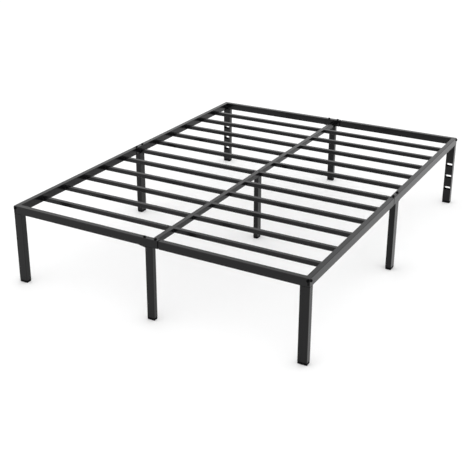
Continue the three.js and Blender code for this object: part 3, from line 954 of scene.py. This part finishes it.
# ------------------------------------------------------------------ stage
def floor_material():
    """Matt, pale studio floor with a very faint unevenness."""
    material = bpy.data.materials.new("studio floor")
    material.use_nodes = True
    tree = material.node_tree
    shader = tree.nodes["Principled BSDF"]
    shader.inputs["Roughness"].default_value = 0.9
    shader.inputs["Specular IOR Level"].default_value = 0.1
    colour = settings("finish").floor
    dark, light = ([c * factor for c in colour] for factor in FLOOR_SHADE)
    shade = mix_colour(tree, noise(tree, 1.5, 3.0).outputs["Fac"], dark, light)
    tree.links.new(shade, shader.inputs["Base Color"])
    return material


def make_floor():
    """A wide floor plane under the feet."""
    corners = [(sx * FLOOR_REACH, sy * FLOOR_REACH, 0) for sx, sy in ((-1, -1), (1, -1), (1, 1), (-1, 1))]
    floor = new_object("floor", corners, [(0, 1, 2, 3)])
    floor.data.materials.append(floor_material())


def make_light():
    """White surroundings and one large overhead softbox."""
    studio = settings("studio")
    scene = bpy.context.scene
    scene.world = scene.world or bpy.data.worlds.new("studio")
    scene.world.use_nodes = True
    background = scene.world.node_tree.nodes["Background"]
    background.inputs["Color"].default_value = (1, 1, 1, 1)
    background.inputs["Strength"].default_value = studio.sky
    scene.view_settings.view_transform = "Standard"
    lamp = bpy.data.lights.new("softbox", "AREA")
    lamp.shape = "SQUARE"
    lamp.size = studio.lamp_size
    lamp.energy = studio.lamp_power
    holder = bpy.data.objects.new("softbox", lamp)
    holder.location = studio.lamp_place
    holder.visible_glossy = False
    scene.collection.objects.link(holder)


def make_camera():
    """The camera, turned by azimuth and elevation."""
    studio = settings("studio")
    data = bpy.data.cameras.new("camera")
    data.lens = studio.lens
    data.shift_x = studio.shift_x
    data.shift_y = studio.shift_y
    data.clip_end = VIEW_REACH
    camera = bpy.data.objects.new("camera", data)
    flat = math.cos(studio.elevation)
    look = Vector((-math.sin(studio.azimuth) * flat, math.cos(studio.azimuth) * flat,
                   -math.sin(studio.elevation)))
    camera.location = studio.camera_place
    camera.rotation_mode = "QUATERNION"
    camera.rotation_quaternion = look.to_track_quat("-Z", "Y")
    bpy.context.scene.collection.objects.link(camera)
    bpy.context.scene.camera = camera


# ------------------------------------------------------------------ places read from the frame
OUTLINE_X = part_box("foot_rail_right_half")[1].x
OUTLINE_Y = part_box("head_rail_right_half")[1].y
RAIL_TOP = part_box("foot_rail_left_half")[1].z
RAIL_WIDE = middle("foot_rail_left_half")[1].y


# ------------------------------------------------------------------ operators and panel
class BED_OT_stage(bpy.types.Operator):
    """Make the floor, the light and the camera"""

    bl_idname = "bed.stage"
    bl_label = "Stage"
    bl_options = {"REGISTER", "UNDO"}

    def execute(self, context):
        make_floor()
        make_light()
        make_camera()
        return {"FINISHED"}


class BED_OT_outer_rails(bpy.types.Operator):
    """Make the mitred outer rails with their inserts"""

    bl_idname = "bed.outer_rails"
    bl_label = "Outer rails"
    bl_options = {"REGISTER", "UNDO"}

    def execute(self, context):
        make_outer_rails()
        return {"FINISHED"}


class BED_OT_centre_rail(bpy.types.Operator):
    """Make the centre rail and its end brackets"""

    bl_idname = "bed.centre_rail"
    bl_label = "Centre rail"
    bl_options = {"REGISTER", "UNDO"}

    def execute(self, context):
        make_centre_rail()
        make_brackets()
        return {"FINISHED"}


class BED_OT_slats(bpy.types.Operator):
    """Make both rows of slats"""

    bl_idname = "bed.slats"
    bl_label = "Slats"
    bl_options = {"REGISTER", "UNDO"}

    def execute(self, context):
        make_slats()
        return {"FINISHED"}


class BED_OT_legs(bpy.types.Operator):
    """Make the legs with their gussets and headboard slots"""

    bl_idname = "bed.legs"
    bl_label = "Legs"
    bl_options = {"REGISTER", "UNDO"}

    def execute(self, context):
        make_legs()
        return {"FINISHED"}


class BED_OT_feet(bpy.types.Operator):
    """Make the moulded plastic feet"""

    bl_idname = "bed.feet"
    bl_label = "Feet"
    bl_options = {"REGISTER", "UNDO"}

    def execute(self, context):
        make_foot_caps()
        return {"FINISHED"}


class BED_OT_fasteners(bpy.types.Operator):
    """Make the bolt heads and the slat screws"""

    bl_idname = "bed.fasteners"
    bl_label = "Fasteners"
    bl_options = {"REGISTER", "UNDO"}

    def execute(self, context):
        make_bolts()
        make_screws()
        return {"FINISHED"}


class BED_OT_welds(bpy.types.Operator):
    """Make the weld beads"""

    bl_idname = "bed.welds"
    bl_label = "Welds"
    bl_options = {"REGISTER", "UNDO"}

    def execute(self, context):
        make_welds()
        return {"FINISHED"}


STEPS = (BED_OT_stage, BED_OT_outer_rails, BED_OT_centre_rail, BED_OT_slats, BED_OT_legs,
         BED_OT_feet, BED_OT_fasteners, BED_OT_welds)


class BED_PT_panel(bpy.types.Panel):
    """Lists the settings and the steps in the sidebar"""

    bl_idname = "BED_PT_panel"
    bl_label = "Bed Frame"
    bl_space_type = "VIEW_3D"
    bl_region_type = "UI"
    bl_category = "Bed Frame"

    def draw(self, context):
        for name, group in GROUPS.items():
            box = self.layout.box()
            for key in group.__annotations__:
                box.prop(getattr(context.scene, f"bed_{name}"), key)
        for step in STEPS:
            self.layout.operator(step.bl_idname)


CLASSES = (*GROUPS.values(), *STEPS, BED_PT_panel)


def register():
    """Registers the classes and stores the settings on the scene."""
    for item in CLASSES:
        bpy.utils.register_class(item)
    for name, group in GROUPS.items():
        setattr(bpy.types.Scene, f"bed_{name}", PointerProperty(type=group))


def unregister():
    """Takes the settings and the classes away again."""
    for name in GROUPS:
        delattr(bpy.types.Scene, f"bed_{name}")
    for item in reversed(CLASSES):
        bpy.utils.unregister_class(item)


def main():
    """Builds everything."""
    register()
    bpy.ops.bed.stage()
    bpy.ops.bed.outer_rails()
    bpy.ops.bed.centre_rail()
    bpy.ops.bed.slats()
    bpy.ops.bed.legs()
    bpy.ops.bed.feet()
    bpy.ops.bed.fasteners()
    bpy.ops.bed.welds()


if __name__ == "__main__":
    main()
